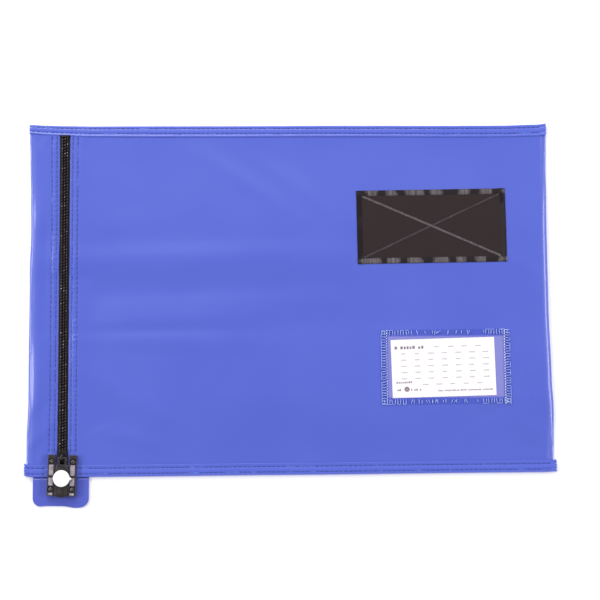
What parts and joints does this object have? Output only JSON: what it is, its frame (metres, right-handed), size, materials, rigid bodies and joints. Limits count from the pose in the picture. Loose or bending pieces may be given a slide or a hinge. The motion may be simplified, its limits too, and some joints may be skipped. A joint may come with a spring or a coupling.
{
  "type": "zip-up cash deposit bag with seal lock",
  "caption": "Flat zip-up cash deposit bag of blue coated fabric with a plastic seal lock over the hem, a writing patch and an address window.",
  "frame": {"origin": "middle of the whole outline, on the surface that the bag lies on", "axes": "+X along the bag's long side, +Y towards the top hem, +Z out of the front of the bag, which lies on its back"},
  "size_m": [0.487, 0.353, 0.0104],
  "materials": {
    "coated_sheet": "satin PVC-coated fabric",
    "binding": "satin PVC-coated fabric strip",
    "zip_tape": "black woven tape",
    "zip_coil": "black nylon coil",
    "zip_metal": "dull crimped metal",
    "slider_plastic": "black lacquered slider",
    "lock_plastic": "moulded black-brown plastic, glossy on its raised bars",
    "rivet": "dark plastic drive rivet",
    "washer": "plain steel",
    "seal_plastic": "plain white plastic",
    "patch_fabric": "matte black coated fabric",
    "clear_sheet": "clear flexible PVC",
    "card": "plain white card with ruled lines",
    "blue_thread": "blue polyester thread",
    "dark_thread": "dark polyester thread",
    "clear_thread": "light blue monofilament thread"
  },
  "bodies": {
    "bag": {"back_panel": "coated_sheet", "front_panel": "coated_sheet", "zip_side_panel": "coated_sheet", "top_binding": "binding", "bottom_binding": "binding", "lock_tab": "coated_sheet", "zip_tape_left": "zip_tape", "zip_tape_right": "zip_tape", "zip_coil_left": "zip_coil", "zip_coil_right": "zip_coil", "zip_top_stop": "zip_metal", "zip_bottom_stop": "zip_metal", "lock_chamber": "lock_plastic", "chamber_rivets": "rivet", "rivet_washers": "washer", "writing_patch": "patch_fabric", "window_sheet": "clear_sheet", "top_hem_stitching": "blue_thread", "bottom_hem_stitching": "blue_thread", "zip_stitching_left": "blue_thread", "zip_stitching_right": "blue_thread", "patch_stitching": "dark_thread", "window_stitching": "clear_thread"},
    "slider": {"zip_slider": "slider_plastic"},
    "tongue": {"puller_tongue": "lock_plastic"},
    "seal": {"seal_button": "seal_plastic"},
    "card": {"address_card": "card"}
  },
  "joints": [
    {"name": "zip_travel", "type": "slide", "parent": "bag", "child": "slider", "axis": [0, 1, 0], "range_m": [0, 0.2876]},
    {"name": "tongue_lift", "type": "hinge", "parent": "slider", "child": "tongue", "pos_m": [-0.2078, -0.1315, 0.0074], "axis": [-1, 0, 0], "range_deg": [0, 130]},
    {"name": "seal_pull", "type": "slide", "parent": "tongue", "child": "seal", "axis": [0, 0, 1], "range_m": [0, 0.008]},
    {"name": "card_shift", "type": "slide", "parent": "bag", "child": "card", "axis": [1, 0, 0], "range_m": [-0.003, 0.0075]}
  ]
}
